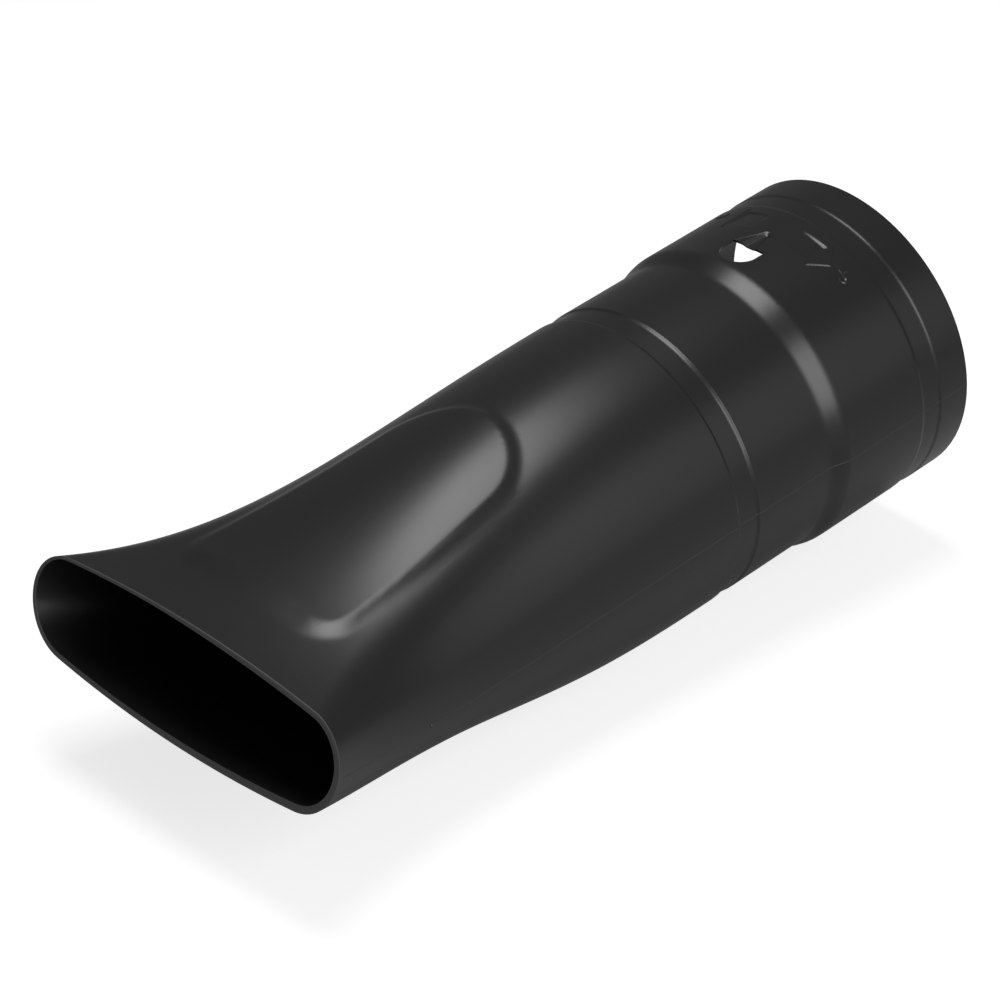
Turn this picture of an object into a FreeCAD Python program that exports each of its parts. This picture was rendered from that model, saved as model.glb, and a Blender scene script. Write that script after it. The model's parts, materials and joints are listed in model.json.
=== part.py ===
import FreeCAD, Part
import math
import os
import Sketcher
from FreeCAD import Vector, Rotation, Placement

# Blow-moulded flat nozzle tube of a leaf blower, one hollow piece.
# The tube's axis runs along Y: the round socket's open end is at zero, the wide flat
# mouth is towards minus Y, and the latch opening is on top. The finished tube is tipped
# nose down about X, the way it lies on its belly, and set on the ground.

doc = FreeCAD.newDocument("nozzle_tube")
sheet = doc.addObject("Spreadsheet::Sheet", "Sizes")

# Driving dimensions: millimetres, degrees or plain exponents
sizes = {
    # Walls
    "socket_wall": 2.6,  # wall of the round socket and the neck
    "wall": 2.0,  # wall of the nozzle body
    "mouth_belly_wall": 2.4,  # wall under the mouth, where the moulding is thicker
    "mouth_crown_wall": 1.6,  # wall over the mouth
    # Round socket, distances from its open end
    "collar_radius": 48.0,  # outside of the rim and the collar
    "rim_chamfer": 0.7,  # broken outer edge of the open end
    "lead_in": 0.9,  # broken inner edge of the open end
    "rim_width": 12.0,  # plain rim before the rim groove
    "rim_groove_width": 7.2,  # rim groove, edge to edge
    "rim_groove_depth": 0.7,  # rim groove
    "collar_length": 51.9,  # open end to the shoulder
    "shoulder_length": 5.6,  # cone between collar and neck
    "shoulder_drop": 1.9,  # collar down to the neck
    "shoulder_round": 3.0,  # soft edges of the shoulder
    "neck_end": 88.2,  # open end to the neck groove
    "neck_groove_width": 7.8,  # neck groove, edge to edge
    "neck_groove_depth": 1.0,  # neck groove
    # Nozzle body, from the neck groove to the mouth
    "body_length": 163.0,  # along the axis, start to the middle of the mouth
    "mouth_width": 125.0,  # outside, end to end
    "mouth_crown": 16.4,  # middle line of the mouth to its top edge
    "mouth_belly": 18.6,  # middle line of the mouth to its bottom edge
    "mouth_rise": 19.6,  # middle line of the mouth above the socket's axis
    "rake_angle": 19.2,  # lean of the mouth, top edge towards the socket
    "root_arc_angle": 64.0,  # angle that the end arcs span where the body starts
    "crown_arc_angle": 83.7,  # angle that the upper end arcs span at the mouth
    "belly_arc_angle": 83.0,  # angle that the lower end arcs span at the mouth
    "flare_power": 4.2,  # how late the sides flare
    "rise_power": 4.25,  # how late the middle line rises
    "rake_power": 1.85,  # how late the sections lean
    "crown_power": 2.05,  # how late the top comes down
    "belly_delay": 2.7,  # how late the bottom starts to rise
    "belly_fall": 5.1,  # how quickly the bottom rises
    # Raised panel on top of the body, distances along the body from its start
    "panel_height": 1.0,  # top of the panel above the crown
    "panel_wall": 4.4,  # run of the soft edge, foot to top
    "panel_rear": 48.0,  # rear of the foot
    "panel_front": 146.0,  # front of the foot
    "panel_round": 25.4,  # radius of the rear end
    "splay_angle": 6.3,  # angle of each side to the axis
    "panel_corner": 8.5,  # radius of the front corners
    # Latch opening on top of the collar
    "latch_distance": 40.0,  # open end to the opening's straight rear edge
    "latch_width": 11.9,  # across the opening, whose front end is a half circle
    "latch_reach": 9.7,  # opening, rear edge to the front of the half circle
    "ramp_length": 8.4,  # ramp behind the opening
    "ramp_depth": 1.3,  # ramp at the opening, less than the wall
    # Resting pose
    "rest_angle": 6.5,  # nose down tip when the tube lies on its belly
}
for row, (alias, number) in enumerate(sizes.items(), 1):
    sheet.set("A%d" % row, alias)
    sheet.set("B%d" % row, str(number))
    sheet.setAlias("B%d" % row, alias)
doc.recompute()


def value(expression):
    return float(sheet.evalExpression(expression))


def origin_plane(body, role):
    for feature in body.Origin.OriginFeatures:
        if feature.Role == role:
            return feature


def new_body(name):
    return doc.addObject("PartDesign::Body", name)


def new_sketch(body, name, role):
    sketch = body.newObject("Sketcher::SketchObject", name)
    sketch.AttachmentSupport = [(origin_plane(body, role), "")]
    sketch.MapMode = "FlatFace"
    return sketch


def bind(sketch, constraint, expression):
    """Adds a dimension to a sketch and ties it to the sheet."""
    index = sketch.addConstraint(constraint)
    sketch.setExpression("Constraints[%d]" % index, expression)


def closed_outline(sketch, corners):
    """Straight-sided closed outline. Each corner is a pair of expressions: distance to the
    left of the origin and height above it, with 0 for a corner on that axis."""
    points = [Vector(-value(left), value(up), 0) for left, up in corners]
    count = len(points)
    for i in range(count):
        sketch.addGeometry(Part.LineSegment(points[i], points[(i + 1) % count]), False)
    for i in range(count):
        sketch.addConstraint(Sketcher.Constraint("Coincident", i, 2, (i + 1) % count, 1))
    for i, (left, up) in enumerate(corners):
        if left == "0":
            sketch.addConstraint(Sketcher.Constraint("PointOnObject", i, 1, -2))
        else:
            bind(sketch, Sketcher.Constraint("DistanceX", i, 1, -1, 1, value(left)), left)
        if up == "0":
            sketch.addConstraint(Sketcher.Constraint("PointOnObject", i, 1, -1))
        else:
            bind(sketch, Sketcher.Constraint("DistanceY", -1, 1, i, 1, value(up)), up)


def turned(body, name, corners):
    """Solid of revolution about the tube's axis."""
    profile = new_sketch(body, name + "Profile", "YZ_Plane")
    closed_outline(profile, corners)
    solid = body.newObject("PartDesign::Revolution", name)
    solid.Profile = profile
    solid.ReferenceAxis = (profile, ["H_Axis"])
    solid.Angle = 360
    doc.recompute()
    return solid


# Outside radius of the neck, which the body starts from
NECK = "(Sizes.collar_radius - Sizes.shoulder_drop)"


# Rules of the nozzle body. Each gives the expression of a size at a fraction of the body's
# length, from 0 where it leaves the neck to 1 at the mouth.
def run(at):
    return "Sizes.neck_end + Sizes.neck_groove_width + Sizes.body_length * %r" % at


def rise(at):
    return "Sizes.mouth_rise * %r ^ Sizes.rise_power" % at


def rake(at):
    return "Sizes.rake_angle * %r ^ Sizes.rake_power" % at


def half_width(at):
    return NECK + " + (Sizes.mouth_width / 2 - %s) * %r ^ Sizes.flare_power" % (NECK, at)


def crown(at):
    return NECK + " - (%s - Sizes.mouth_crown) * %r ^ Sizes.crown_power" % (NECK, at)


def belly(at):
    return ("Sizes.mouth_belly + (%s - Sizes.mouth_belly)"
            " * (1 - %r ^ Sizes.belly_delay) ^ Sizes.belly_fall" % (NECK, at))


def crown_corner(at):
    return "Sizes.root_arc_angle + (Sizes.crown_arc_angle - Sizes.root_arc_angle) * %r" % at


def belly_corner(at):
    return "Sizes.root_arc_angle + (Sizes.belly_arc_angle - Sizes.root_arc_angle) * %r" % at


def crown_wall(at):
    return "Sizes.wall + (Sizes.mouth_crown_wall - Sizes.wall) * %r" % at


def belly_wall(at):
    return "Sizes.wall + (Sizes.mouth_belly_wall - Sizes.wall) * %r" % at


def arc_radii(width, height, corner):
    """End arc and flat arc of a quarter section that meet smoothly at the corner angle."""
    lean = math.tan(math.pi / 4 - corner / 2)
    slack = (1 - math.sin(corner)) * (1 - 1 / math.cos(corner))
    end = (height - width * lean) / (math.sin(corner) + slack)
    flat = end + (width - end) / math.cos(corner)
    return end, flat


def section(body, name, at, side, up, down):
    """Cross-section of the body: a flat arc on top, one below and two arcs at each end,
    all running smoothly into each other, on a plane that leans with the body."""
    sketch = new_sketch(body, name, "XZ_Plane")
    sketch.AttachmentOffset = Placement(Vector(0, 0, 0), Rotation(Vector(1, 0, 0), -1))
    sketch.setExpression("AttachmentOffset.Base.z", run(at))
    sketch.setExpression("AttachmentOffset.Base.y", rise(at))
    sketch.setExpression("AttachmentOffset.Rotation.Angle", "-(" + rake(at) + ")")
    wide = value(side)
    halves = []
    for height, corner, turn in ((up, crown_corner(at), 1), (down, belly_corner(at), -1)):
        high = value(height)
        angle = math.radians(value(corner))
        end, flat = arc_radii(wide, high, angle)
        middle = Vector(0, turn * (high - flat), 0)
        spans = [(Vector(wide - end, 0, 0), end, 0, angle),
                 (middle, flat, angle, math.pi - angle),
                 (Vector(end - wide, 0, 0), end, math.pi - angle, math.pi)]
        ids = []
        for centre, radius, start, stop in spans:
            circle = Part.Circle(centre, Vector(0, 0, 1), radius)
            if turn < 0:
                start, stop = -stop, -start
            ids.append(sketch.addGeometry(Part.ArcOfCircle(circle, start, stop), False))
        top = sketch.addGeometry(Part.Point(Vector(0, turn * high, 0)), True)
        halves.append((ids, top, high, height, angle, corner, turn))
    for (right, flat, left), top, high, height, angle, corner, turn in halves:
        first, last = (1, 2) if turn > 0 else (2, 1)
        sketch.addConstraint([
            Sketcher.Constraint("PointOnObject", flat, 3, -2),
            Sketcher.Constraint("PointOnObject", right, 3, -1),
            Sketcher.Constraint("PointOnObject", left, 3, -1),
            Sketcher.Constraint("Tangent", right, last, flat, first),
            Sketcher.Constraint("Tangent", flat, last, left, first),
            Sketcher.Constraint("PointOnObject", top, 1, -2),
            Sketcher.Constraint("PointOnObject", top, 1, flat),
        ])
        low, far = (-1, top) if turn > 0 else (top, -1)
        bind(sketch, Sketcher.Constraint("DistanceY", low, 1, far, 1, high), height)
        bind(sketch, Sketcher.Constraint("Angle", right, angle), corner)
    upper, lower = halves[0][0], halves[1][0]
    sketch.addConstraint([
        Sketcher.Constraint("PointOnObject", upper[0], 1, -1),
        Sketcher.Constraint("PointOnObject", upper[2], 2, -1),
        Sketcher.Constraint("Equal", upper[0], upper[2]),
        Sketcher.Constraint("Coincident", upper[0], 1, lower[0], 2),
        Sketcher.Constraint("Coincident", upper[2], 2, lower[2], 1),
    ])
    bind(sketch, Sketcher.Constraint("DistanceX", -1, 1, upper[0], 1, wide), side)
    return sketch


def round_section(body, name, radius):
    """Full circle where the body starts, parted at the same corners as the other sections."""
    sketch = new_sketch(body, name, "XZ_Plane")
    sketch.setExpression("AttachmentOffset.Base.z", run(0.0))
    corner = math.radians(value("Sizes.root_arc_angle"))
    circle = Part.Circle(Vector(0, 0, 0), Vector(0, 0, 1), value(radius))
    turns = [0, corner, math.pi - corner, math.pi, math.pi + corner, 2 * math.pi - corner, 2 * math.pi]
    for start, stop in zip(turns, turns[1:]):
        arc = sketch.addGeometry(Part.ArcOfCircle(circle, start, stop), False)
        sketch.addConstraint(Sketcher.Constraint("Coincident", arc, 3, -1, 1))
    for arc in range(5):
        sketch.addConstraint(Sketcher.Constraint("Coincident", arc, 2, arc + 1, 1))
    for arc, end in ((0, 1), (2, 2), (5, 2)):
        sketch.addConstraint(Sketcher.Constraint("PointOnObject", arc, end, -1))
    for arc in (0, 2, 3, 5):
        bind(sketch, Sketcher.Constraint("Angle", arc, corner), "Sizes.root_arc_angle")
    bind(sketch, Sketcher.Constraint("Radius", 0, value(radius)), radius)
    return sketch


STATIONS = 8


def lofted(body, name, hollow):
    """Round to flat loft through evenly spaced sections, hollow ones inset by the wall."""
    radius = NECK + " - Sizes.wall" if hollow else NECK
    sections = [round_section(body, name + "Section0", radius)]
    for i in range(1, STATIONS + 1):
        at = i / STATIONS
        side, up, down = half_width(at), crown(at), belly(at)
        if hollow:
            side = side + " - Sizes.wall"
            up = up + " - (" + crown_wall(at) + ")"
            down = down + " - (" + belly_wall(at) + ")"
        sections.append(section(body, name + "Section%d" % i, at, side, up, down))
    doc.recompute()
    solid = body.newObject("PartDesign::AdditiveLoft", name)
    solid.Profile = sections[0]
    solid.Sections = sections[1:]
    solid.Ruled = False
    solid.Closed = False
    doc.recompute()
    return solid


def ring_edges(shape, rings):
    """Names of the full circles about the axis at the given distance and radius."""
    names = []
    for number, edge in enumerate(shape.Edges, 1):
        if isinstance(edge.Curve, Part.Circle):
            here = (-edge.Curve.Center.y, edge.Curve.Radius)
            if any(math.dist(here, ring) < 0.01 for ring in rings):
                names.append("Edge%d" % number)
    return names


def softened(body, name, base, rings, radius):
    """Rounds circular edges of a turned solid."""
    fillet = body.newObject("PartDesign::Fillet", name)
    fillet.Base = (base, ring_edges(base.Shape, rings))
    fillet.setExpression("Radius", radius)
    doc.recompute()
    return fillet


# Outside of the tube: turned rim, collar, shoulder and neck, then the lofted body
outside = new_body("Outside")
rim_floor = "Sizes.collar_radius - Sizes.rim_groove_depth"
rim_end = "Sizes.rim_width + Sizes.rim_groove_width"
neck_floor = NECK + " - Sizes.neck_groove_depth"
neck_start = "Sizes.collar_length + Sizes.shoulder_length"
groove_end = "Sizes.neck_end + Sizes.neck_groove_width"
socket = turned(outside, "Socket", [
    ("0", "0"),
    ("0", "Sizes.collar_radius - Sizes.rim_chamfer"),
    ("Sizes.rim_chamfer", "Sizes.collar_radius"),
    ("Sizes.rim_width", "Sizes.collar_radius"),
    ("Sizes.rim_width + Sizes.rim_groove_depth", rim_floor),
    (rim_end + " - Sizes.rim_groove_depth", rim_floor),
    (rim_end, "Sizes.collar_radius"),
    ("Sizes.collar_length", "Sizes.collar_radius"),
    (neck_start, NECK),
    ("Sizes.neck_end", NECK),
    ("Sizes.neck_end + Sizes.neck_groove_depth", neck_floor),
    (groove_end + " - Sizes.neck_groove_depth", neck_floor),
    (groove_end, NECK),
    (groove_end, "0"),
])
softened(outside, "Shoulder", socket,
         [(value("Sizes.collar_length"), value("Sizes.collar_radius")),
          (value(neck_start), value(NECK))],
         "Sizes.shoulder_round")
lofted(outside, "Body", False)

# Hollow: the socket's bore, the neck and the duct to the mouth
hollow = new_body("Hollow")
bore = "Sizes.collar_radius - Sizes.socket_wall"
turned(hollow, "Bore", [
    ("0", "0"),
    ("0", bore + " + Sizes.lead_in"),
    ("Sizes.lead_in", bore),
    ("Sizes.collar_length", bore),
    (neck_start, NECK + " - Sizes.socket_wall"),
    ("Sizes.neck_end", NECK + " - Sizes.socket_wall"),
    (groove_end, NECK + " - Sizes.wall"),
    (groove_end, "0"),
])
lofted(hollow, "Duct", True)


def inside_foot(across, along):
    """Distance inside the panel's foot: round rear end, splayed sides, rounded front corners."""
    radius = value("Sizes.panel_round")
    corner = value("Sizes.panel_corner")
    splay = math.radians(value("Sizes.splay_angle"))
    ahead = along - value("Sizes.panel_rear") - radius
    if ahead * math.cos(splay) + across * math.sin(splay) < 0:
        side = radius - math.hypot(across, ahead)
    else:
        side = radius - across * math.cos(splay) + ahead * math.sin(splay)
    front = value("Sizes.panel_front") - along
    if side < corner and front < corner:
        return corner - math.hypot(corner - side, corner - front)
    return min(side, front)


def skin_height(across, at, thickness):
    """Height of the body's upper skin above the middle line, on the section at a fraction."""
    width = value(half_width(at)) - thickness
    high = value(crown(at)) - thickness
    corner = math.radians(value(crown_corner(at)))
    end, flat = arc_radii(width, high, corner)
    if across < flat * math.cos(corner):
        return high - flat + math.sqrt(flat ** 2 - across ** 2)
    return math.sqrt(max(end ** 2 - (across - width + end) ** 2, 0))


def swelling(name, thickness):
    """Everything under the panel's top, to be added to the skin. It stands above the skin
    inside the panel's foot and dips below it outside."""
    length = value("Sizes.body_length")
    height = value("Sizes.panel_height")
    wall_run = value("Sizes.panel_wall")
    margin = wall_run / 2
    rear = value("Sizes.panel_rear") - margin
    front = value("Sizes.panel_front") + margin
    splay = math.tan(math.radians(value("Sizes.splay_angle")))
    rows = 45
    columns = 31
    grid = []
    for i in range(rows):
        along = rear + (front - rear) * i / (rows - 1)
        at = along / length
        span = value("Sizes.panel_round") + margin + splay * (along - rear)
        lean = math.radians(value(rake(at)))
        line = []
        for j in range(columns):
            across = span * (2 * j / (columns - 1) - 1)
            inside = max(min(inside_foot(abs(across), along), wall_run), -wall_run)
            lift = height * math.sin(math.pi / 2 * inside / wall_run)
            top = skin_height(abs(across), at, thickness) + lift
            line.append(Vector(across,
                               -value(run(at)) + top * math.sin(lean),
                               value(rise(at)) + top * math.cos(lean)))
        grid.append(line)
    surface = Part.BSplineSurface()
    surface.interpolate(grid)
    feature = doc.addObject("Part::Feature", name)
    feature.Shape = surface.toShape().extrude(Vector(0, 0, -3 * height - value("Sizes.wall")))
    return feature


def joined(name, base, tool):
    feature = doc.addObject("Part::Fuse", name)
    feature.Base = base
    feature.Tool = tool
    doc.recompute()
    return feature


def cut(name, base, tool):
    feature = doc.addObject("Part::Cut", name)
    feature.Base = base
    feature.Tool = tool
    doc.recompute()
    return feature


panel = swelling("Panel", 0)
panel_back = swelling("PanelBack", value("Sizes.wall"))
skin = joined("Skin", outside, panel)
duct = joined("DuctSpace", hollow, panel_back)
tube = cut("Tube", skin, duct)

# Latch opening: a straight rear edge, two sides and a half circle in front
latch = new_body("Latch")
opening_outline = new_sketch(latch, "OpeningOutline", "XY_Plane")
half = value("Sizes.latch_width / 2")
rear = -value("Sizes.latch_distance")
front = -value("Sizes.latch_distance + Sizes.latch_reach")
corners = [Vector(-half, front + half, 0), Vector(-half, rear, 0),
           Vector(half, rear, 0), Vector(half, front + half, 0)]
for start, stop in zip(corners, corners[1:]):
    opening_outline.addGeometry(Part.LineSegment(start, stop), False)
nose = Part.Circle(Vector(0, front + half, 0), Vector(0, 0, 1), half)
opening_outline.addGeometry(Part.ArcOfCircle(nose, math.pi, 2 * math.pi), False)
opening_outline.addConstraint([
    Sketcher.Constraint("Coincident", 0, 2, 1, 1),
    Sketcher.Constraint("Coincident", 1, 2, 2, 1),
    Sketcher.Constraint("Tangent", 2, 2, 3, 2),
    Sketcher.Constraint("Tangent", 3, 1, 0, 1),
    Sketcher.Constraint("Symmetric", 1, 1, 1, 2, -2),
    Sketcher.Constraint("Vertical", 0),
    Sketcher.Constraint("Vertical", 2),
])
bind(opening_outline, Sketcher.Constraint("DistanceX", 1, 1, 1, 2, 2 * half), "Sizes.latch_width")
bind(opening_outline, Sketcher.Constraint("DistanceY", 1, 1, -1, 1, -rear), "Sizes.latch_distance")
bind(opening_outline, Sketcher.Constraint("DistanceY", 3, 3, 1, 1, rear - front - half),
     "Sizes.latch_reach - Sizes.latch_width / 2")
doc.recompute()
opening = latch.newObject("PartDesign::Pad", "Opening")
opening.Profile = opening_outline
opening.setExpression("Length", "Sizes.collar_radius + Sizes.wall")
doc.recompute()

# Shallow vee ramp behind it, from the opening's rear corners
ramp_body = new_body("Ramp")
vee = new_sketch(ramp_body, "Vee", "XZ_Plane")
vee.setExpression("AttachmentOffset.Base.z", "Sizes.latch_distance")
low = value("Sizes.collar_radius - Sizes.ramp_depth")
corner_drop = "Sizes.collar_radius - sqrt(Sizes.collar_radius ^ 2 - (Sizes.latch_width / 2) ^ 2)"
vee_rise = "2 * (Sizes.ramp_depth - (" + corner_drop + "))"
high = low + value(vee_rise)
reach = 2 * half
corners = [Vector(0, low, 0), Vector(reach, high, 0), Vector(-reach, high, 0)]
for i in range(3):
    vee.addGeometry(Part.LineSegment(corners[i], corners[(i + 1) % 3]), False)
for i in range(3):
    vee.addConstraint(Sketcher.Constraint("Coincident", i, 2, (i + 1) % 3, 1))
vee.addConstraint(Sketcher.Constraint("PointOnObject", 0, 1, -2))
vee.addConstraint(Sketcher.Constraint("Symmetric", 1, 1, 2, 1, -2))
bind(vee, Sketcher.Constraint("DistanceY", -1, 1, 0, 1, low), "Sizes.collar_radius - Sizes.ramp_depth")
bind(vee, Sketcher.Constraint("DistanceY", 0, 1, 1, 1, high - low), vee_rise)
bind(vee, Sketcher.Constraint("DistanceX", 2, 1, 1, 1, 2 * reach), "2 * Sizes.latch_width")
doc.recompute()
ramp = ramp_body.newObject("PartDesign::Pad", "RampCut")
ramp.Profile = vee
ramp.UseCustomVector = True
ramp.setExpression("Direction.y", "Sizes.ramp_length")
ramp.setExpression("Direction.z", "Sizes.ramp_depth")
ramp.AlongSketchNormal = True
ramp.setExpression("Length", "1.2 * Sizes.ramp_length")
doc.recompute()

tube = cut("RampedTube", tube, ramp_body)
tube = cut("NozzleTube", tube, latch)
tube.Label = "nozzle_tube"

# Resting pose: tipped on its belly, centred over the ground point
tip_over = Rotation(Vector(1, 0, 0), value("Sizes.rest_angle"))
lying = tube.Shape.copy()
lying.Placement = Placement(Vector(0, 0, 0), tip_over)
box = lying.optimalBoundingBox(False, False)
tube.Placement = Placement(Vector(-box.Center.x, -box.Center.y, -box.ZMin), tip_over)
doc.recompute()

for item in doc.Objects:
    if "Invalid" in item.State or "Error" in item.State:
        raise RuntimeError("%s failed: %s" % (item.Name, item.State))
solid = tube.Shape
if solid.isNull() or not solid.isValid() or len(solid.Solids) != 1:
    raise RuntimeError("the tube is not one valid solid")

os.makedirs("parts", exist_ok=True)
solid.exportStep("parts/nozzle_tube.step")
print("volume", solid.Volume, "centre", solid.Solids[0].CenterOfMass, "box", solid.optimalBoundingBox())
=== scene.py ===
import json
import math
import bmesh
import bpy
from mathutils import Matrix, Vector


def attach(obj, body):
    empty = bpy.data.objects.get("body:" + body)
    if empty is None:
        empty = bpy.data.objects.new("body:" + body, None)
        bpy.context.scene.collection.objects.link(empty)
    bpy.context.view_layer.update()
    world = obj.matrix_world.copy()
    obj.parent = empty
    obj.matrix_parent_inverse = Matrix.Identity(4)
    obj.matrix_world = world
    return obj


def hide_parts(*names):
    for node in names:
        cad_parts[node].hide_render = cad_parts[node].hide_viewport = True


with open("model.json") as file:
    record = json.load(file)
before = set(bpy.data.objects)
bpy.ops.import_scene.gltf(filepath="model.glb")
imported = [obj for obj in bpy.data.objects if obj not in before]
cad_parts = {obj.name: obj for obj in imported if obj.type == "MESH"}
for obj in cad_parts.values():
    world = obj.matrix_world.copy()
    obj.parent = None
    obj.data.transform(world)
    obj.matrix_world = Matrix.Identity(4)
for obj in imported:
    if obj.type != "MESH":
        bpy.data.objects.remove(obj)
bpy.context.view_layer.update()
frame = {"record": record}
scene = bpy.context.scene
MM = 0.001

# Sizes of the tube in millimetres, degrees or plain exponents. Distances along the socket
# start at its open end, and those of the raised panel where the body leaves the neck.
TUBE = {
    # Socket, from the open end to the body
    "collar_radius": 48.0,
    "rim_chamfer": 0.35,
    "lead_in": 0.9,
    "rim_width": 11.8,
    "rim_groove_width": 8.0,
    "rim_groove_depth": 0.26,
    "rim_groove_rear": 1.0,
    "rim_groove_front": 0.9,
    "collar_length": 51.9,
    "shoulder_length": 5.6,
    "shoulder_drop": 1.9,
    "shoulder_blend": 1.3,
    "neck_end": 87.0,
    "neck_groove_width": 8.4,
    "neck_groove_depth": 0.4,
    "neck_groove_rear": 1.3,
    "neck_groove_front": 0.7,
    "body_start": 96.0,
    # Walls; the mouth's wall thins by this share towards its left end
    "socket_wall": 2.6,
    "wall": 2.0,
    "mouth_crown_wall": 1.6,
    "mouth_belly_wall": 2.4,
    "left_thinning": 0.5,
    "lip_round": 0.25,
    # Body, from the round neck to the flat mouth
    "body_length": 163.0,
    "mouth_width": 125.0,
    "mouth_crown": 16.4,
    "mouth_belly": 18.6,
    "mouth_rise": 19.6,
    "rake_angle": 19.2,
    "root_arc_angle": 64.0,
    "crown_root_angle": 46.5,
    "crown_arc_angle": 83.7,
    "crown_arc_power": 1.35,
    "belly_arc_angle": 83.0,
    "flare_power": 4.2,
    "rise_power": 4.25,
    "rake_power": 1.85,
    "crown_power": 2.05,
    "belly_delay": 2.7,
    "belly_fall": 5.1,
    # Raised panel on the crown
    "panel_height": 1.0,
    "panel_wall": 3.5,
    "panel_front_wall": 7.2,
    "panel_foot_power": 1.3,
    "panel_rear": 48.0,
    "panel_front": 146.0,
    "panel_round": 25.4,
    "splay_angle": 5.8,
    "panel_corner": 12.0,
    # Latch opening, and the ramp with its channel behind it
    "latch_distance": 40.0,
    "latch_width": 11.9,
    "latch_reach": 9.7,
    "latch_wall": 0.8,
    "ramp_length": 8.4,
    "ramp_tip": 1.25,
    "ramp_depth": 0.5,
    "ramp_edge": 0.5,
    "ramp_overrun": 0.5,
    "ramp_runout": 1.0,
    "channel_depth": 0.8,
    "channel_width": 4.4,
    "channel_tip": 1.6,
    "channel_edge": 1.5,
    # Sunk shafts of the two arrows
    "arrow_middle": 28.2,
    "arrow_start": 6.4,
    "arrow_base": 16.0,
    "shaft_width": 8.2,
    "shaft_depth": 0.5,
    "shaft_edge": 0.9,
    # Slight waviness of the moulded skin
    "ripple": 0.05,
}

# Rows of the skin's grid in each stretch, from the rim along the outside to the mouth, over
# the lip, back along the inside and round the open end
ROWS = {
    "collar": 165,
    "neck": 12,
    "groove": 48,
    "body": 120,
    "lip": 6,
    "duct": 40,
    "bore": 28,
    "end": 6,
}

# Columns in each upper and each lower quarter
UPPER = 82
LOWER = 30

# The socket's axis and open end, from the part's own bore
bore = frame["record"]["mounts"][0]
BORE_MIDDLE = 26.4 * MM
axis = Vector(bore["axis"]).normalized()
open_end = Vector(bore["pos_m"]) + axis * BORE_MIDDLE
lying = Matrix.Translation(open_end) @ Matrix.Rotation(math.atan2(axis.z, axis.y), 4, "X")
to_frame = lying @ Matrix.Scale(MM, 4)


class Term:
    """A number in a node tree, written with ordinary signs. Each sign adds a Math node."""

    def __init__(self, tree, socket):
        self.tree = tree
        self.socket = socket

    def node(self, operation, *values, clamp=False):
        node = self.tree.nodes.new("ShaderNodeMath")
        node.operation = operation
        node.use_clamp = clamp
        for slot, value in zip(node.inputs, values):
            if isinstance(value, Term):
                self.tree.links.new(value.socket, slot)
            else:
                slot.default_value = value
        return Term(self.tree, node.outputs[0])

    def __add__(self, other):
        return self.node("ADD", self, other)

    def __radd__(self, other):
        return self.node("ADD", other, self)

    def __sub__(self, other):
        return self.node("SUBTRACT", self, other)

    def __rsub__(self, other):
        return self.node("SUBTRACT", other, self)

    def __mul__(self, other):
        return self.node("MULTIPLY", self, other)

    def __rmul__(self, other):
        return self.node("MULTIPLY", other, self)

    def __truediv__(self, other):
        return self.node("DIVIDE", self, other)

    def __rtruediv__(self, other):
        return self.node("DIVIDE", other, self)

    def __pow__(self, other):
        return self.node("POWER", self, other)


def sine(term):
    return term.node("SINE", term)


def cosine(term):
    return term.node("COSINE", term)


def root(term):
    return term.node("SQRT", term)


def least(term, other):
    return term.node("MINIMUM", term, other)


def most(term, other):
    return term.node("MAXIMUM", term, other)


def above(term, limit):
    """1 where the term is above the limit, otherwise 0."""
    return term.node("GREATER_THAN", term, limit)


def climb(term, start, stop):
    """Straight climb from 0 to 1 between two places."""
    return term.node("DIVIDE", term - start, stop - start, clamp=True)


def soft(term, start, stop):
    """Climb from 0 to 1 with both ends eased."""
    t = climb(term, start, stop)
    return t * t * (3 - 2 * t)


def blend(low, high, factor):
    return low + (high - low) * factor


def length(across, along):
    return root(across * across + along * along)


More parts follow.
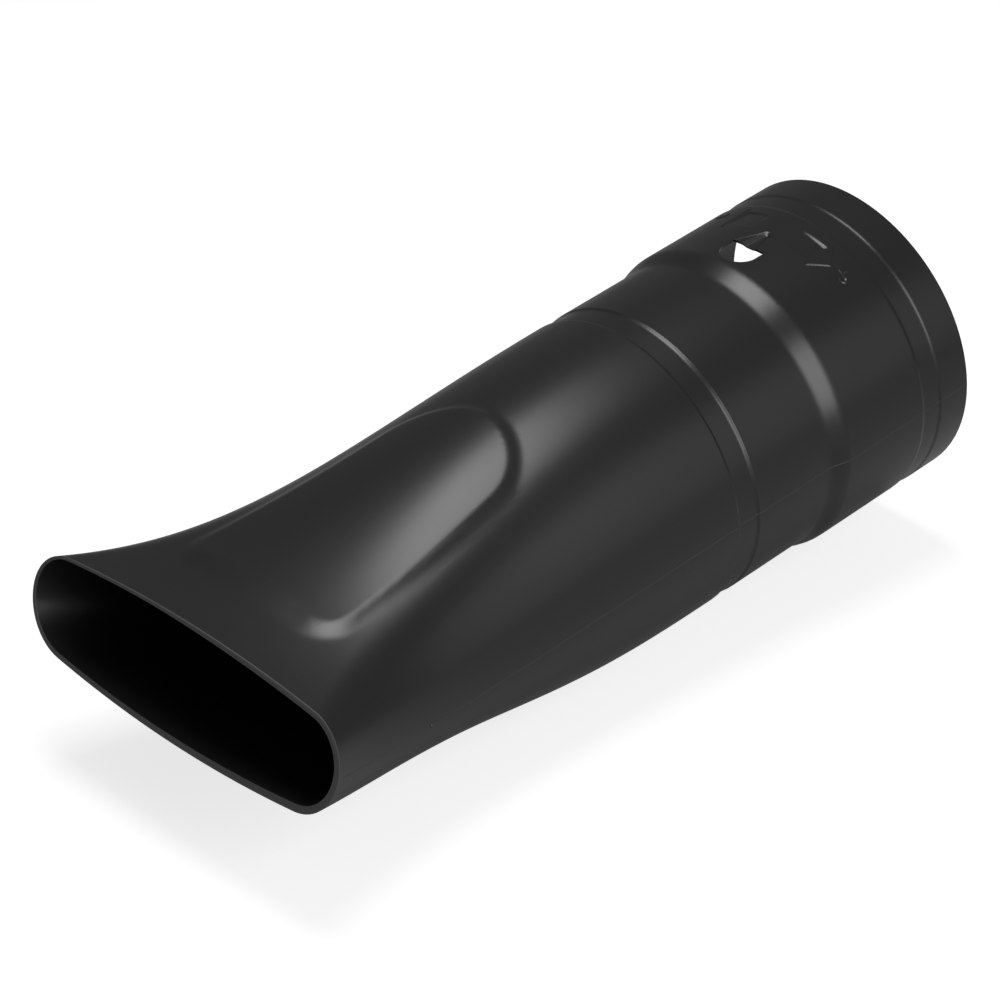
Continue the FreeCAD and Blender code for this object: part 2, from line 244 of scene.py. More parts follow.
class Rule:
    """A Geometry Nodes tree with named inputs for its sizes."""

    def __init__(self, name, sizes):
        self.tree = bpy.data.node_groups.new(name, "GeometryNodeTree")
        self.sizes = sizes
        self.inputs = {}
        face = self.tree.interface
        face.new_socket("Geometry", in_out="OUTPUT", socket_type="NodeSocketGeometry")
        source = self.tree.nodes.new("NodeGroupInput")
        for key in sizes:
            label = key.replace("_", " ").capitalize()
            socket = face.new_socket(label, in_out="INPUT", socket_type="NodeSocketFloat")
            self.inputs[key] = socket.identifier
        self.numbers = {key: Term(self.tree, source.outputs[i]) for i, key in enumerate(sizes)}

    def __getattr__(self, key):
        if key in self.__dict__.get("numbers", {}):
            return self.numbers[key]
        raise AttributeError(key)

    def angle(self, key):
        return self.numbers[key] * (math.pi / 180)

    def add(self, kind, sockets, **properties):
        """A node of that kind, with its sockets in a dictionary and its properties by name."""
        node = self.tree.nodes.new(kind)
        for key, value in properties.items():
            setattr(node, key, value)
        for slot, value in sockets.items():
            self.plug(value, node.inputs[slot])
        return node

    def plug(self, value, slot):
        if isinstance(value, Term):
            self.tree.links.new(value.socket, slot)
        elif isinstance(value, bpy.types.NodeSocket):
            self.tree.links.new(value, slot)
        else:
            slot.default_value = value

    def point(self, x, y, z):
        return self.add("ShaderNodeCombineXYZ", {"X": x, "Y": y, "Z": z}).outputs[0]

    def place(self):
        """The three coordinates of a point of the geometry."""
        position = self.add("GeometryNodeInputPosition", {})
        split = self.add("ShaderNodeSeparateXYZ", {0: position.outputs[0]})
        return [Term(self.tree, out) for out in split.outputs]

    def made(self, name, geometry, material):
        """Ends the tree, runs it once and returns the result as a plain mesh in the frame."""
        real = self.add("GeometryNodeRealizeInstances", {"Geometry": geometry})
        finish = self.add("GeometryNodeSetMaterial", {
            "Geometry": real.outputs[0], "Material": material})
        output = self.tree.nodes.new("NodeGroupOutput")
        self.tree.links.new(finish.outputs[0], output.inputs[0])
        maker = bpy.data.objects.new(name + "_rule", bpy.data.meshes.new(name + "_rule"))
        scene.collection.objects.link(maker)
        modifier = maker.modifiers.new("Rule", "NODES")
        modifier.node_group = self.tree
        for key, value in self.sizes.items():
            modifier[self.inputs[key]] = float(value)
        graph = bpy.context.evaluated_depsgraph_get()
        mesh = bpy.data.meshes.new_from_object(maker.evaluated_get(graph))
        bpy.data.objects.remove(maker)
        mesh.transform(to_frame)
        piece = bpy.data.objects.new(name, mesh)
        scene.collection.objects.link(piece)
        return piece


# Share of a drafted wall that is straight, beside its eased ends
STRAIGHT_SHARE = 0.65


def slope(term, start, stop):
    """Climb from 0 to 1 with small eased ends, like a drafted mould wall."""
    eased = soft(term, start, stop)
    return climb(term, start, stop) * STRAIGHT_SHARE + eased * (1 - STRAIGHT_SHARE)


def ring_groove(run, start, width, depth, rear_edge, front_edge):
    """Ring groove: a crisp rear lip that runs softly into the floor, and a drafted front wall."""
    stop = start + width
    left_over = 1 - climb(run, start, start + rear_edge)
    return depth * (1 - left_over * left_over - slope(run, stop - front_edge, stop))


def half_width(rule, at):
    """Half width of the body at a place between the neck (0) and the mouth (1)."""
    neck = rule.collar_radius - rule.shoulder_drop
    return neck + (rule.mouth_width * 0.5 - neck) * at ** rule.flare_power


def collar_lift(rule, run):
    """How far the outside stands above the neck: collar, shoulder and the two grooves."""
    drop_start = rule.collar_length - rule.shoulder_blend
    drop_stop = rule.collar_length + rule.shoulder_length + rule.shoulder_blend
    lift = rule.shoulder_drop * (1 - soft(run, drop_start, drop_stop))
    rim = ring_groove(run, rule.rim_width, rule.rim_groove_width, rule.rim_groove_depth,
                      rule.rim_groove_rear, rule.rim_groove_front)
    neck = ring_groove(run, rule.neck_end, rule.neck_groove_width, rule.neck_groove_depth,
                       rule.neck_groove_rear, rule.neck_groove_front)
    return lift - rim - neck


def panel_lift(rule, across, along):
    """Height of the raised panel: round rear end, splayed sides, straight front, round corners."""
    splay = rule.angle("splay_angle")
    level = cosine(splay)
    slant = sine(splay)
    ahead = along - rule.panel_rear - rule.panel_round
    round_end = rule.panel_round - length(across, ahead)
    straight = rule.panel_round - across * level + ahead * slant
    side = blend(round_end, straight, above(ahead * level + across * slant, 0.0))
    over_side = rule.panel_corner - side
    over_front = rule.panel_corner - rule.panel_front + along
    outside = length(most(over_side, 0.0), most(over_front, 0.0))
    inside = rule.panel_corner - outside - least(most(over_side, over_front), 0.0)
    at_front = climb(over_front - over_side, 0.0 - rule.panel_corner, rule.panel_corner)
    wall = blend(rule.panel_wall, rule.panel_front_wall, at_front)
    return rule.panel_height * climb(inside, 0.0, wall) ** rule.panel_foot_power


# Share of the ramp's depth in the step at its edge, and the share of the channel's depth that
# is lost towards its tip
RAMP_STEP = 0.35
CHANNEL_LOSS = 0.55


def ramp_dip(rule, across, run):
    """Depth of the ramp behind the latch opening: a shallow vee with a channel along it."""
    behind = rule.latch_distance - run
    back = behind / rule.ramp_length
    half = blend(rule.latch_width * 0.5, rule.ramp_tip, back)
    edge_step = slope(half - across, 0.0, rule.ramp_edge)
    vee = RAMP_STEP * edge_step + (1 - RAMP_STEP) * climb(half - across, 0.0, half)
    middle = blend(rule.channel_width * 0.5, rule.channel_tip * 0.5, back)
    wall = slope(middle + rule.channel_edge * 0.5 - across, 0.0, rule.channel_edge)
    channel = rule.channel_depth * (1 - CHANNEL_LOSS * back) * wall
    tip = soft(rule.ramp_length + rule.channel_edge * 0.5 - behind, 0.0, rule.channel_edge)
    stop = rule.latch_distance + rule.ramp_overrun
    front = 1 - climb(run, stop, stop + rule.ramp_runout)
    return (rule.ramp_depth * vee + channel) * tip * front


# Share of an arrow shaft's depth at its start, and the share that it loses from rear to front
SHAFT_START = 0.3
SHAFT_LOSS = 0.7


def shaft_dip(rule, around, run):
    """Depth of an arrow's sunk shaft, which deepens to its rear and towards its head."""
    half = rule.shaft_width * 0.5
    edge = rule.shaft_edge
    off = run - rule.arrow_middle
    start = slope(around - rule.arrow_start, 0.0, edge)
    stop = slope(rule.arrow_base - around, 0.0, edge * 0.5)
    rear = slope(off + half + edge * 0.5, 0.0, edge)
    front = slope(half - off, 0.0, edge * 0.5)
    to_head = blend(SHAFT_START, 1.0, climb(around, rule.arrow_start, rule.arrow_base))
    to_front = 1 - SHAFT_LOSS * climb(off, 0.0 - half, half)
    return rule.shaft_depth * start * stop * rear * front * to_head * to_front


def skin_grid(rule):
    """Flat grid of the skin, with each point's row and its quarter turns from the right flank."""
    rows = sum(ROWS.values())
    columns = 2 * (UPPER + LOWER)
    grid = rule.add("GeometryNodeMeshGrid", {
        "Size X": 1.0, "Size Y": 1.0, "Vertices X": rows + 1, "Vertices Y": columns + 1})
    across, around, _ = rule.place()
    row = (across + 0.5) * rows
    column = (around + 0.5) * columns
    over_top = climb(column, 0.0, 2.0 * UPPER)
    underneath = climb(column, 2.0 * UPPER, float(columns))
    return grid.outputs["Mesh"], row, 2 * (over_top + underneath)


def skin_travel(row):
    """How far a row has come through each stretch, from 0 to 1."""
    travel = {}
    start = 0
    for stretch, count in ROWS.items():
        travel[stretch] = climb(row, float(start), float(start + count))
        start += count
    return travel


def skin_run(rule, travel):
    """A row's distance from the open end, its place along the body and its share inwards."""
    end = travel["end"] * 3
    lead_in = climb(end, 0.0, 1.0)
    face = climb(end, 1.0, 2.0)
    chamfer = climb(end, 2.0, 3.0)
    at = travel["body"] - travel["duct"]
    neck_start = rule.collar_length + rule.shoulder_length + rule.shoulder_blend
    run = blend(rule.rim_chamfer, neck_start, travel["collar"])
    run = run + (rule.neck_end - rule.shoulder_blend - neck_start) * travel["neck"]
    run = run + (rule.body_start - rule.neck_end + rule.shoulder_blend) * travel["groove"]
    run = run + rule.body_length * at - (rule.body_start - rule.lead_in) * travel["bore"]
    run = run - rule.lead_in * lead_in + rule.rim_chamfer * chamfer
    face_width = rule.socket_wall - rule.lead_in - rule.rim_chamfer
    end_rise = lead_in * rule.lead_in + face * face_width + chamfer * rule.rim_chamfer
    return run, at, travel["lip"] - end_rise / rule.socket_wall


def section_size(rule, run, at, inset, thinned, lower):
    """Half width, height above or below the middle and end arc's angle of a section."""
    neck = rule.collar_radius - rule.shoulder_drop
    shoulder_stop = rule.collar_length + rule.shoulder_length
    lift_inside = rule.shoulder_drop * (1 - climb(run, rule.collar_length, shoulder_stop))
    lift = blend(collar_lift(rule, run), lift_inside, inset)
    side_wall = blend(rule.socket_wall, rule.wall, climb(run, rule.neck_end, rule.body_start))
    crown_wall = side_wall + (rule.mouth_crown_wall - rule.wall) * at
    belly_wall = side_wall + (rule.mouth_belly_wall - rule.wall) * at
    thickness = inset * thinned
    width = half_width(rule, at) + lift - thickness * side_wall
    crown = neck - (neck - rule.mouth_crown) * at ** rule.crown_power
    belly_fall = (1 - at ** rule.belly_delay) ** rule.belly_fall
    belly = rule.mouth_belly + (neck - rule.mouth_belly) * belly_fall
    height = blend(crown + lift - thickness * crown_wall, belly + lift - thickness * belly_wall, lower)
    rounding = 1 - (1 - at) ** rule.crown_arc_power
    upper_corner = blend(rule.angle("crown_root_angle"), rule.angle("crown_arc_angle"), rounding)
    lower_corner = blend(rule.angle("root_arc_angle"), rule.angle("belly_arc_angle"), at)
    return width, height, blend(upper_corner, lower_corner, lower)


# Spacing of the upper columns: an even share, and a power that crowds the rest towards the top
EVEN_SHARE = 0.4
CROWD_POWER = 5


def section_point(width, height, corner, turn, lower):
    """A point of the quarter section: an end arc, then a flat arc that goes on smoothly."""
    lean = sine(math.pi / 4 - corner * 0.5) / cosine(math.pi / 4 - corner * 0.5)
    slack = (1 - sine(corner)) * (1 - 1 / cosine(corner))
    end_radius = (height - width * lean) / (sine(corner) + slack)
    flat_radius = end_radius + (width - end_radius) / cosine(corner)
    quarter = turn.node("PINGPONG", turn, 1.0)
    from_top = 1 - quarter
    close = 1 - EVEN_SHARE * from_top - (1 - EVEN_SHARE) * from_top ** CROWD_POWER
    step = 2 * blend(close, quarter, lower)
    end_turn = corner * least(step, 1.0)
    flat_turn = blend(corner, math.pi / 2, most(step - 1, 0.0))
    end_x = width - end_radius + end_radius * cosine(end_turn)
    end_z = end_radius * sine(end_turn)
    flat_x = flat_radius * cosine(flat_turn)
    flat_z = height - flat_radius + flat_radius * sine(flat_turn)
    on_flat = above(step, 1.0)
    return blend(end_x, flat_x, on_flat), blend(end_z, flat_z, on_flat)


# Distance from the latch opening, in its widths, where the thin wall starts to thicken and ends
THIN_UNTIL = 0.8
FULL_FROM = 1.5


def top_details(rule, x, z, run, at, inset, lower):
    """Height with the panel, the latch's thin wall and its ramp, and the depth of the shafts."""
    on_top = 1 - lower
    on_body = above(at, 0.0)
    in_socket = on_top * (1 - on_body)
    z = z + on_top * on_body * panel_lift(rule, x, rule.body_length * at)
    near_latch = length(x, run - rule.latch_distance) / rule.latch_width
    thinner = (rule.socket_wall - rule.latch_wall) * (1 - soft(near_latch, THIN_UNTIL, FULL_FROM))
    z = z + in_socket * inset * thinner - in_socket * ramp_dip(rule, x, run)
    around = rule.collar_radius * x.node("ARCTAN2", x, z)
    return z, in_socket * (1 - above(inset, 0.0)) * shaft_dip(rule, around, run)


# Sides of the round cutter, and how far past its middle a point counts as its rear
CUTTER_SIDES = 96
CUTTER_MIDDLE = 0.001


def latch_cutter(rule):
    """Upright cutter for the latch opening, with a straight rear edge and a half-round front."""
    half = rule.latch_width * 0.5
    drum = rule.add("GeometryNodeMeshCylinder", {
        "Vertices": CUTTER_SIDES, "Radius": half, "Depth": rule.collar_radius * 0.5})
    x, y, z = rule.place()
    front = y - rule.latch_distance - rule.latch_reach + half
    along = blend(front, 0.0 - rule.latch_distance, above(y, CUTTER_MIDDLE))
    cutter = rule.add("GeometryNodeSetPosition", {
        "Geometry": drum.outputs["Mesh"], "Position": rule.point(x, along, z + rule.collar_radius)})
    return cutter.outputs[0]


# Edges that bend by more degrees than this keep a sharp line
SHARP_ANGLE = 38


def smooth_shading(rule, geometry):
    """Smooth shading, with the cut edges kept sharp."""
    smooth = rule.add("GeometryNodeSetShadeSmooth", {"Geometry": geometry, "Shade Smooth": True})
    bend = rule.add("GeometryNodeInputMeshEdgeAngle", {}).outputs["Unsigned Angle"]
    crisp = rule.add("GeometryNodeSetShadeSmooth", {
        "Geometry": smooth.outputs[0],
        "Selection": above(Term(rule.tree, bend), math.radians(SHARP_ANGLE)),
        "Shade Smooth": False}, domain="EDGE")
    return crisp.outputs[0]


# Waves of the skin per millimetre, and the distance within which the grid's edges are joined
RIPPLE_SCALE = 0.035
JOIN_DISTANCE = 0.002


def tube_skin(material):
    """Whole skin of the tube, outside and inside, as one closed grid swept by rule."""
    rule = Rule("Nozzle skin", TUBE)
    grid, row, turn = skin_grid(rule)
    travel = skin_travel(row)
    run, at, inset = skin_run(rule, travel)
    lower = above(turn, 2.0)
    towards_left = 0.5 - 0.5 * cosine(turn * (math.pi / 2))
    thinned = 1 - rule.left_thinning * at * towards_left
    width, height, corner = section_size(rule, run, at, inset, thinned, lower)
    x, z = section_point(width, height, corner, turn, lower)
    z, sunk = top_details(rule, x, z, run, at, inset, lower)

    # Signs that lay the quarter section out to the right or left, and above or below
    side = 1 - 2 * (above(turn, 1.0) - above(turn, 3.0))
    over = 1 - 2 * lower
    wave = rule.add("ShaderNodeTexNoise", {
        "Vector": rule.point(x * side, run, z * over), "Scale": RIPPLE_SCALE, "Detail": 1.0},
        noise_dimensions="3D")
    sunk = sunk + rule.ripple * (Term(rule.tree, wave.outputs[0]) - 0.5)
    grow = 1 - sunk / length(x, z)
    x = x * grow * side
    z = z * grow * over

    # Lean and rise of the section, and the lip's slight dome
    tilt = rule.angle("rake_angle") * at ** rule.rake_power
    dome = rule.lip_round * thinned * thinned * 4 * travel["lip"] * (1 - travel["lip"])
    y = z * sine(tilt) - run - dome * cosine(tilt)
    up = rule.mouth_rise * at ** rule.rise_power + z * cosine(tilt) + dome * sine(tilt)

    placed = rule.add("GeometryNodeSetPosition", {
        "Geometry": grid, "Position": rule.point(x, y, up)})
    closed = rule.add("GeometryNodeMergeByDistance", {
        "Geometry": placed.outputs[0], "Distance": JOIN_DISTANCE})
    turned = rule.add("GeometryNodeFlipFaces", {"Mesh": closed.outputs[0]})
    opened = rule.add("GeometryNodeMeshBoolean", {
        "Mesh 1": turned.outputs[0], "Mesh 2": latch_cutter(rule)},
        operation="DIFFERENCE", solver="MANIFOLD")
    return rule.made("nozzle_skin", smooth_shading(rule, opened.outputs["Mesh"]), material)


# Sizes of the parting seam and its nub in millimetres, along from the socket's open end
SEAM = {
    "seam_radius": 0.25,
    "seam_height": 0.06,
    "seam_start": 1.0,
    "seam_stop": 257.0,
    "nub_radius": 0.8,
    "nub_height": 0.35,
    "nub_run": 217.5,
}

# Sizes of the tube that the seam follows
SEAM_FOLLOWS = [
    "collar_radius", "rim_width", "rim_groove_width", "rim_groove_depth", "rim_groove_rear",
    "rim_groove_front", "collar_length", "shoulder_length", "shoulder_drop", "shoulder_blend",
    "neck_end", "neck_groove_width", "neck_groove_depth", "neck_groove_rear",
    "neck_groove_front", "body_start", "body_length", "mouth_width", "mouth_rise",
    "flare_power", "rise_power",
]
SEAM_POINTS = 320
BEAD_SIDES = 8
NUB_SEGMENTS = 24
NUB_RINGS = 16


def parting_seam(material):
    """Thin bead where the mould halves met, along both flanks, with a small nub on the right."""
    rule = Rule("Parting seam", {**{key: TUBE[key] for key in SEAM_FOLLOWS}, **SEAM})

    def flank(run, sunk):
        at = climb(run, rule.body_start, rule.body_start + rule.body_length)
        out = half_width(rule, at) + collar_lift(rule, run) - sunk
        return rule.point(out, 0.0 - run, rule.mouth_rise * at ** rule.rise_power)

    line = rule.add("GeometryNodeMeshLine", {"Count": SEAM_POINTS})
    index = Term(rule.tree, rule.add("GeometryNodeInputIndex", {}).outputs[0])
    run = blend(rule.seam_start, rule.seam_stop, index / (SEAM_POINTS - 1))
    along = rule.add("GeometryNodeSetPosition", {
        "Geometry": line.outputs[0], "Position": flank(run, rule.seam_radius - rule.seam_height)})
    path = rule.add("GeometryNodeMeshToCurve", {"Mesh": along.outputs[0]})
    profile = rule.add("GeometryNodeCurvePrimitiveCircle", {
        "Resolution": BEAD_SIDES, "Radius": rule.seam_radius})
    bead = rule.add("GeometryNodeCurveToMesh", {
        "Curve": path.outputs[0], "Profile Curve": profile.outputs[0], "Fill Caps": True})
    mirror = rule.add("GeometryNodeTransform", {
        "Geometry": bead.outputs[0], "Scale": (-1.0, 1.0, 1.0)})
    other = rule.add("GeometryNodeFlipFaces", {"Mesh": mirror.outputs[0]})
    ball = rule.add("GeometryNodeMeshUVSphere", {
        "Segments": NUB_SEGMENTS, "Rings": NUB_RINGS, "Radius": rule.nub_radius})
    nub = rule.add("GeometryNodeTransform", {
        "Geometry": ball.outputs[0],
        "Translation": flank(rule.nub_run, rule.nub_radius - rule.nub_height)})
    joined = rule.add("GeometryNodeJoinGeometry", {})
    for item in (bead, other, nub):
        rule.tree.links.new(item.outputs[0], joined.inputs[0])
    smooth = rule.add("GeometryNodeSetShadeSmooth", {
        "Geometry": joined.outputs[0], "Shade Smooth": True})
    return rule.made("parting_seam", smooth.outputs[0], material)


# Raised signs on the collar, in millimetres round from the top and along from the open end.
# A lock's free leg ends that far past the other leg: clear of the body where the lock is open.
SIGN_HEIGHT = 0.24
SIGN_DRAFT = 0.42
SIGN_ROOT = 0.5
SIGN_STEP = 0.8
ARROW_BASE = 16.6
ARROW_TIP = 21.6
ARROW_HALF = 6.6
LOCK_NEAR = 23.0
LOCK_FAR = 25.6
LOCK_REAR = 24.7
LOCK_FRONT = 27.2
SHACKLE_RADIUS = 1.0
SHACKLE_WIDTH = 0.95
SHACKLE_RISE = 1.4
SHACKLE_OVERLAP = 0.2
OPEN_SHIFT = 0.8
OPEN_LEG = 0.4
SHUT_LEG = -0.2
ARCH_STEPS = 8


def collar_point(around, distance, height):
    """Point on the collar, by its way round from the top and its distance from the open end."""
    radius = TUBE["collar_radius"] + height
    angle = around / TUBE["collar_radius"]
    return Vector((radius * math.sin(angle), -distance, radius * math.cos(angle)))


def fine_outline(corners):
    """Closed outline with long edges parted, so that the sign follows the round collar."""
    points = []
    for start, stop in zip(corners, corners[1:] + corners[:1]):
        parts = max(1, math.ceil(math.dist(start, stop) / SIGN_STEP))
        points += [Vector(start).lerp(Vector(stop), i / parts) for i in range(parts)]
    return points


def inset_outline(points):
    """The outline moved inwards by the draft; it runs anticlockwise."""
    moved = []
    count = len(points)
    for i, point in enumerate(points):
        before = (point - points[i - 1]).normalized()
        after = (points[(i + 1) % count] - point).normalized()
        inwards = Vector((-before.y - after.y, before.x + after.x)).normalized()
        moved.append(point + inwards * SIGN_DRAFT)
    return moved


def add_sign(mesh, corners, side):
    """Adds a raised sign with drafted walls to a mesh, on the right (1) or left (-1)."""
    outline = fine_outline(corners)
    rings = []
    for points, height in (
            (outline, -SIGN_ROOT), (outline, 0.0), (inset_outline(outline), SIGN_HEIGHT)):
        rings.append([mesh.verts.new(collar_point(p.x * side, p.y, height)) for p in points])
    caps = [mesh.faces.new(rings[-1]), mesh.faces.new(reversed(rings[0]))]
    count = len(outline)
    for low, high in zip(rings, rings[1:]):
        for i in range(count):
            j = (i + 1) % count
            mesh.faces.new([low[i], low[j], high[j], high[i]])
    bmesh.ops.triangulate(mesh, faces=caps)


def shackle(near, middle, free_leg):
    """Outline of a padlock's shackle: an arch between two legs, one of them free."""
    outer = SHACKLE_RADIUS + SHACKLE_WIDTH / 2
    inner = SHACKLE_RADIUS - SHACKLE_WIDTH / 2
    crest = near + SHACKLE_RISE
    turns = [math.pi * (i / ARCH_STEPS - 0.5) for i in range(ARCH_STEPS + 1)]
    arch = [(crest + outer * math.cos(a), middle + outer * math.sin(a)) for a in turns]
    back = [(crest + inner * math.cos(a), middle + inner * math.sin(a)) for a in reversed(turns)]
    free_end = [(near + free_leg, middle + outer), (near + free_leg, middle + inner)]
    return [(near, middle - outer)] + arch + free_end + back + [(near, middle - inner)]


def collar_signs(material):
    """Arrow heads and padlocks: the one on the right is open, the one on the left is shut."""
    mesh = bmesh.new()
    middle = TUBE["arrow_middle"]
    head = [(ARROW_BASE, middle - ARROW_HALF), (ARROW_TIP, middle), (ARROW_BASE, middle + ARROW_HALF)]
    lock = [(LOCK_NEAR, LOCK_REAR), (LOCK_FAR, LOCK_REAR),
            (LOCK_FAR, LOCK_FRONT), (LOCK_NEAR, LOCK_FRONT)]
    open_shackle = shackle(LOCK_FAR - SHACKLE_OVERLAP, LOCK_FRONT + OPEN_SHIFT, OPEN_LEG)
    shut_shackle = shackle(LOCK_FAR - SHACKLE_OVERLAP, (LOCK_REAR + LOCK_FRONT) / 2, SHUT_LEG)
    for side, arch in ((1, open_shackle), (-1, shut_shackle)):
        for corners in (head, lock, arch):
            add_sign(mesh, corners, side)
    bmesh.ops.recalc_face_normals(mesh, faces=mesh.faces)
    data = bpy.data.meshes.new("collar_signs")
    mesh.to_mesh(data)
    mesh.free()
    data.transform(to_frame)
    data.materials.append(material)
    piece = bpy.data.objects.new("collar_signs", data)
    scene.collection.objects.link(piece)
    return piece


# Finishes of the plastic, each a base colour and a roughness
SATIN = ((0.0095, 0.0095, 0.0101), 0.3)
CUT_EDGE = ((0.062, 0.062, 0.065), 0.5)
# The seam's paler base colour is a painted highlight for the light line that the bead catches; its
# higher roughness makes it duller.
SEAM_HIGHLIGHT_PAINT = ((0.024, 0.024, 0.025), 0.5)

# The grain's size per metre, fineness, strength and depth, and the depth of the mouth's cut edge
GRAIN_SCALE = 1400
GRAIN_DETAIL = 2
GRAIN_STRENGTH = 0.06
GRAIN_DEPTH = 0.2 * MM
TRIM_DEPTH = 0.3 * MM


def moulded_grain():
    """Fine grain of the mould, as a height that any of the plastic's finishes can use."""
    tree = bpy.data.node_groups.new("Moulded grain", "ShaderNodeTree")
    tree.interface.new_socket("Height", in_out="OUTPUT", socket_type="NodeSocketFloat")
    place = tree.nodes.new("ShaderNodeTexCoord")
    noise = tree.nodes.new("ShaderNodeTexNoise")
    noise.inputs["Scale"].default_value = GRAIN_SCALE
    noise.inputs["Detail"].default_value = GRAIN_DETAIL
    output = tree.nodes.new("NodeGroupOutput")
    tree.links.new(place.outputs["Object"], noise.inputs["Vector"])
    tree.links.new(noise.outputs["Fac"], output.inputs["Height"])
    return tree


def plastic(name, grain, shade, roughness):
    """Black polyethylene with a fine moulded grain."""
    material = bpy.data.materials.new(name)
    material.use_nodes = True
    nodes = material.node_tree.nodes
    links = material.node_tree.links
    shader = nodes["Principled BSDF"]
    shader.inputs["Base Color"].default_value = (*shade, 1)
    shader.inputs["Roughness"].default_value = roughness
    texture = nodes.new("ShaderNodeGroup")
    texture.node_tree = grain
    bump = nodes.new("ShaderNodeBump")
    bump.inputs["Strength"].default_value = GRAIN_STRENGTH
    bump.inputs["Distance"].default_value = GRAIN_DEPTH
    links.new(texture.outputs["Height"], bump.inputs["Height"])
    links.new(bump.outputs["Normal"], shader.inputs["Normal"])
    return material


def show_cut_edge(material, shade, roughness):
    """Makes the trimmed edge of the mouth paler and duller, by its distance from the mouth's plane."""
    nodes = material.node_tree.nodes
    links = material.node_tree.links
    shader = nodes["Principled BSDF"]
    lean = math.radians(TUBE["rake_angle"])
    middle = Vector((0, -TUBE["body_start"] - TUBE["body_length"], TUBE["mouth_rise"]))
    facing = (lying.to_3x3() @ Vector((0, -math.cos(lean), math.sin(lean)))).normalized()
    place = nodes.new("ShaderNodeTexCoord")
    ahead = nodes.new("ShaderNodeVectorMath")
    ahead.operation = "DOT_PRODUCT"
    ahead.inputs[1].default_value = facing
    links.new(place.outputs["Object"], ahead.inputs[0])
    trimmed = nodes.new("ShaderNodeMath")
    trimmed.operation = "GREATER_THAN"
    trimmed.inputs[1].default_value = facing.dot(to_frame @ middle) - TRIM_DEPTH
    links.new(ahead.outputs["Value"], trimmed.inputs[0])
    colour = nodes.new("ShaderNodeMix")
    colour.data_type = "RGBA"
    colour.inputs["A"].default_value = shader.inputs["Base Color"].default_value
    colour.inputs["B"].default_value = (*shade, 1)
    dullness = nodes.new("ShaderNodeMix")
    dullness.inputs["A"].default_value = shader.inputs["Roughness"].default_value
    dullness.inputs["B"].default_value = roughness
    for mix, target in ((colour, "Base Color"), (dullness, "Roughness")):
        links.new(trimmed.outputs[0], mix.inputs["Factor"])
        links.new(next(out for out in mix.outputs if out.enabled), shader.inputs[target])


# The floor's width in metres, its grey, its roughness, and its glow, which only the camera sees
FLOOR_WIDTH = 8
FLOOR_GREY = 0.42
FLOOR_ROUGHNESS = 0.9
FLOOR_GLOW = 0.74


def studio_floor():
    """Pale floor that looks white to the camera and keeps the tube's shadow."""
    material = bpy.data.materials.new("floor_white")
    material.use_nodes = True
    nodes = material.node_tree.nodes
    links = material.node_tree.links
    shader = nodes["Principled BSDF"]
    shader.inputs["Base Color"].default_value = (FLOOR_GREY, FLOOR_GREY, FLOOR_GREY, 1)
    shader.inputs["Roughness"].default_value = FLOOR_ROUGHNESS
    shader.inputs["Emission Color"].default_value = (1, 1, 1, 1)
    ray = nodes.new("ShaderNodeLightPath")
    glow = nodes.new("ShaderNodeMath")
    glow.operation = "MULTIPLY"
    glow.inputs[1].default_value = FLOOR_GLOW
    links.new(ray.outputs["Is Camera Ray"], glow.inputs[0])
    links.new(glow.outputs[0], shader.inputs["Emission Strength"])
    bpy.ops.mesh.primitive_plane_add(size=FLOOR_WIDTH)
    floor = bpy.context.object
    floor.name = "floor"
    floor.data.materials.append(material)


# Brightness of the surroundings, and the lamps, in degrees, metres and watts
WORLD_STRENGTH = 0.17
LAMPS = {
    "right_strip": {
        "azimuth": -1.0, "elevation": 28.5, "distance": 1.6,
        "width": 0.82, "height": 1.34, "strength": 14.8,
    },
    "right_fill": {
        "azimuth": 30, "elevation": 22, "distance": 1.8,
        "width": 1.0, "height": 1.3, "strength": 1.8,
    },
    "overhead": {
        "azimuth": 178, "elevation": 84.5, "distance": 0.68,
        "width": 0.37, "height": 0.37, "strength": 2.8,
    },
}


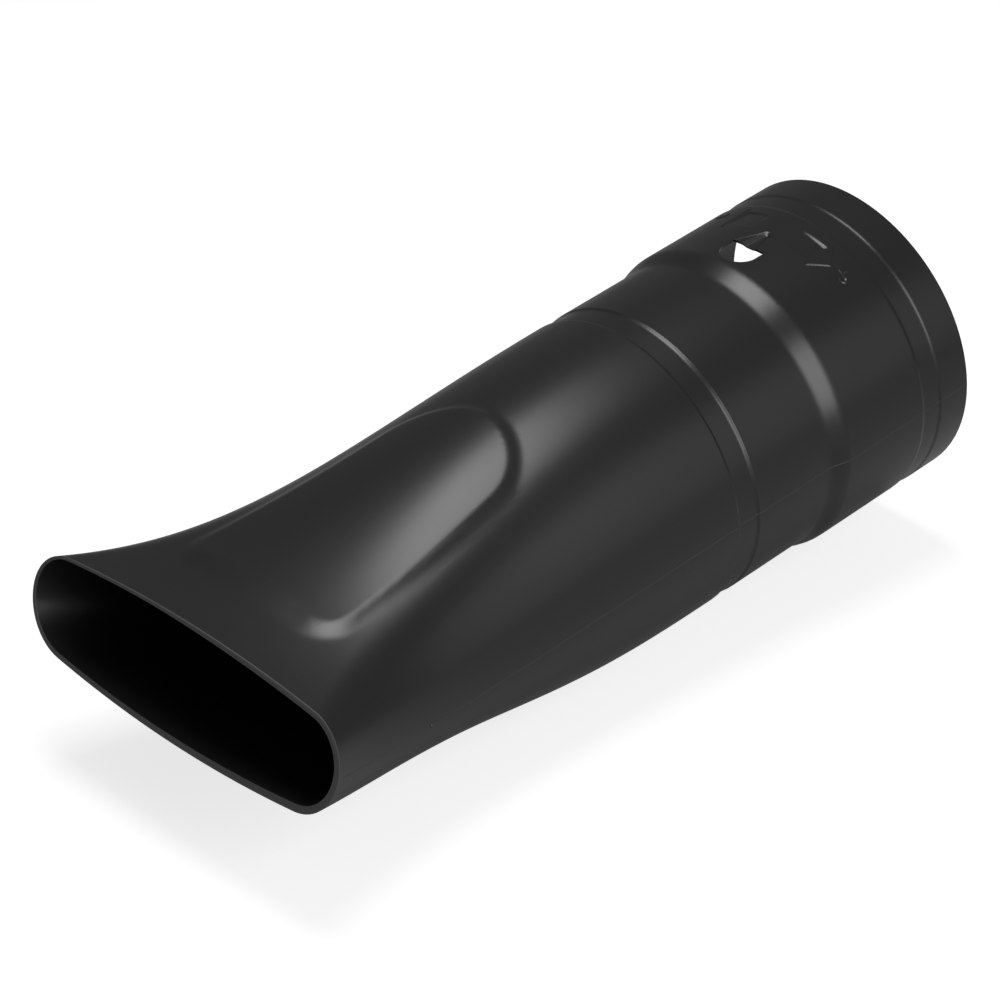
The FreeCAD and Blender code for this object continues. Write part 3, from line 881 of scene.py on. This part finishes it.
def softbox(name, azimuth, elevation, distance, width, height, strength):
    """Area light that faces the tube, placed by compass direction and height in degrees."""
    lamp = bpy.data.lights.new(name, "AREA")
    lamp.shape = "RECTANGLE"
    lamp.size = width
    lamp.size_y = height
    lamp.energy = strength
    holder = bpy.data.objects.new(name, lamp)
    turn = math.radians(azimuth)
    climb_angle = math.radians(elevation)
    level = math.cos(climb_angle) * distance
    spot = Vector((level * math.cos(turn), level * math.sin(turn), math.sin(climb_angle) * distance))
    holder.location = spot
    holder.rotation_euler = spot.to_track_quat("Z", "Y").to_euler()
    scene.collection.objects.link(holder)


def studio_light():
    """Dim white surroundings and the softboxes."""
    world = bpy.data.worlds.new("studio")
    world.use_nodes = True
    scene.world = world
    background = world.node_tree.nodes["Background"]
    background.inputs["Color"].default_value = (1, 1, 1, 1)
    background.inputs["Strength"].default_value = WORLD_STRENGTH
    for name, lamp in LAMPS.items():
        softbox(name, **lamp)


# The camera in the part's frame: metres, degrees, and millimetres for its lens and sensor
CAMERA_SPOT = Vector((0.6736, -0.6644, 0.6204))
CAMERA_TARGET = Vector((-0.0077, -0.0071, 0.0500))
CAMERA_ROLL = 0.617
CAMERA_LENS = 140.99
CAMERA_SENSOR = 36


def studio_camera():
    """Camera at the photograph's viewing angle."""
    lens = bpy.data.cameras.new("camera")
    lens.sensor_width = CAMERA_SENSOR
    lens.lens = CAMERA_LENS
    camera = bpy.data.objects.new("camera", lens)
    look = (CAMERA_TARGET - CAMERA_SPOT).to_track_quat("-Z", "Y").to_matrix().to_4x4()
    roll = Matrix.Rotation(math.radians(CAMERA_ROLL), 4, "Z")
    camera.matrix_world = Matrix.Translation(CAMERA_SPOT) @ look @ roll
    scene.collection.objects.link(camera)
    scene.camera = camera


grain = moulded_grain()
satin = plastic("black_plastic", grain, *SATIN)
show_cut_edge(satin, *CUT_EDGE)
# The parting seam and its nub get a paler colour that paints the highlight along the bead.
seam_highlight_paint = plastic("parting_line_painted_highlight", grain, *SEAM_HIGHLIGHT_PAINT)
skin = tube_skin(satin)
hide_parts("nozzle_tube")
for piece in (skin, parting_seam(seam_highlight_paint), collar_signs(satin)):
    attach(piece, "root")

studio_floor()
studio_light()
studio_camera()
scene.view_settings.view_transform = "Standard"
